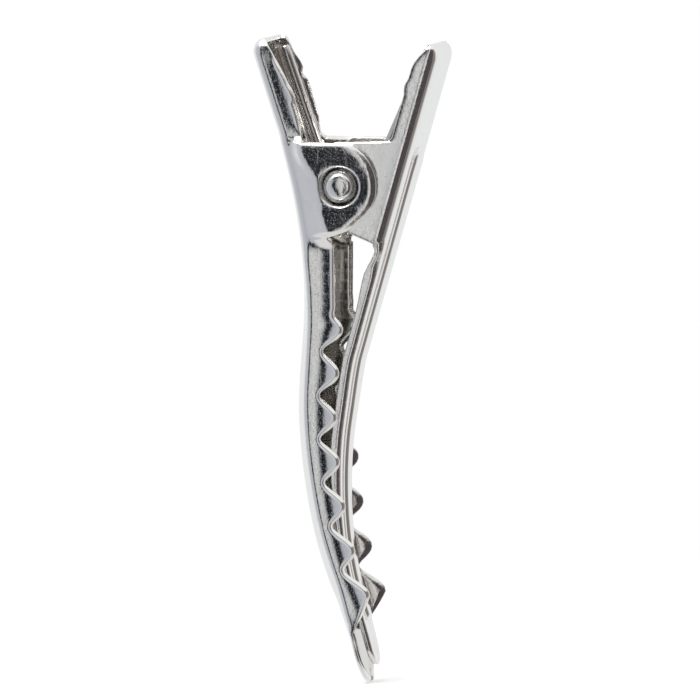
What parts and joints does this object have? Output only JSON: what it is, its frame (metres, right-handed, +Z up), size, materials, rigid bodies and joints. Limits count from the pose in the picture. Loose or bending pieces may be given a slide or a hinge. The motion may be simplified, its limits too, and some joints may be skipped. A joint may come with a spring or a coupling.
{
  "type": "alligator hair clip",
  "caption": "Sprung steel hair clip: a toothed jaw and a beaded jaw hinged on a rivet, which open when the handles are pinched.",
  "frame": {"origin": "the place where the closed jaws grip the hair, on the mid-plane and straight below the pivot", "axes": "+Z up the clip from the grip to the handles, +X from the toothed jaw to the beaded jaw, +Y along the pivot rivet"},
  "size_m": [0.0127, 0.0094, 0.0445],
  "materials": {
    "toothed_plating": "bright nickel plating with fine pits and scratches",
    "beaded_plating": "bright nickel plating with fine drawing lines",
    "rivet_steel": "bright plating, burnished dome",
    "spring_wire": "drawn spring wire with fine lengthwise lines"
  },
  "bodies": {
    "toothed_arm": {"toothed_jaw": "toothed_plating", "pivot_rivet": "rivet_steel", "torsion_spring": "spring_wire"},
    "beaded_arm": {"beaded_jaw": "beaded_plating"}
  },
  "joints": [
    {"name": "jaw_hinge", "type": "hinge", "parent": "toothed_arm", "child": "beaded_arm", "pos_m": [0, 0, 0.02], "axis": [0, -1, 0], "range_deg": [0, 45], "stiffness_Nm_per_rad": 0.02, "springref_deg": -68.75, "deforming": ["torsion_spring"]}
  ]
}
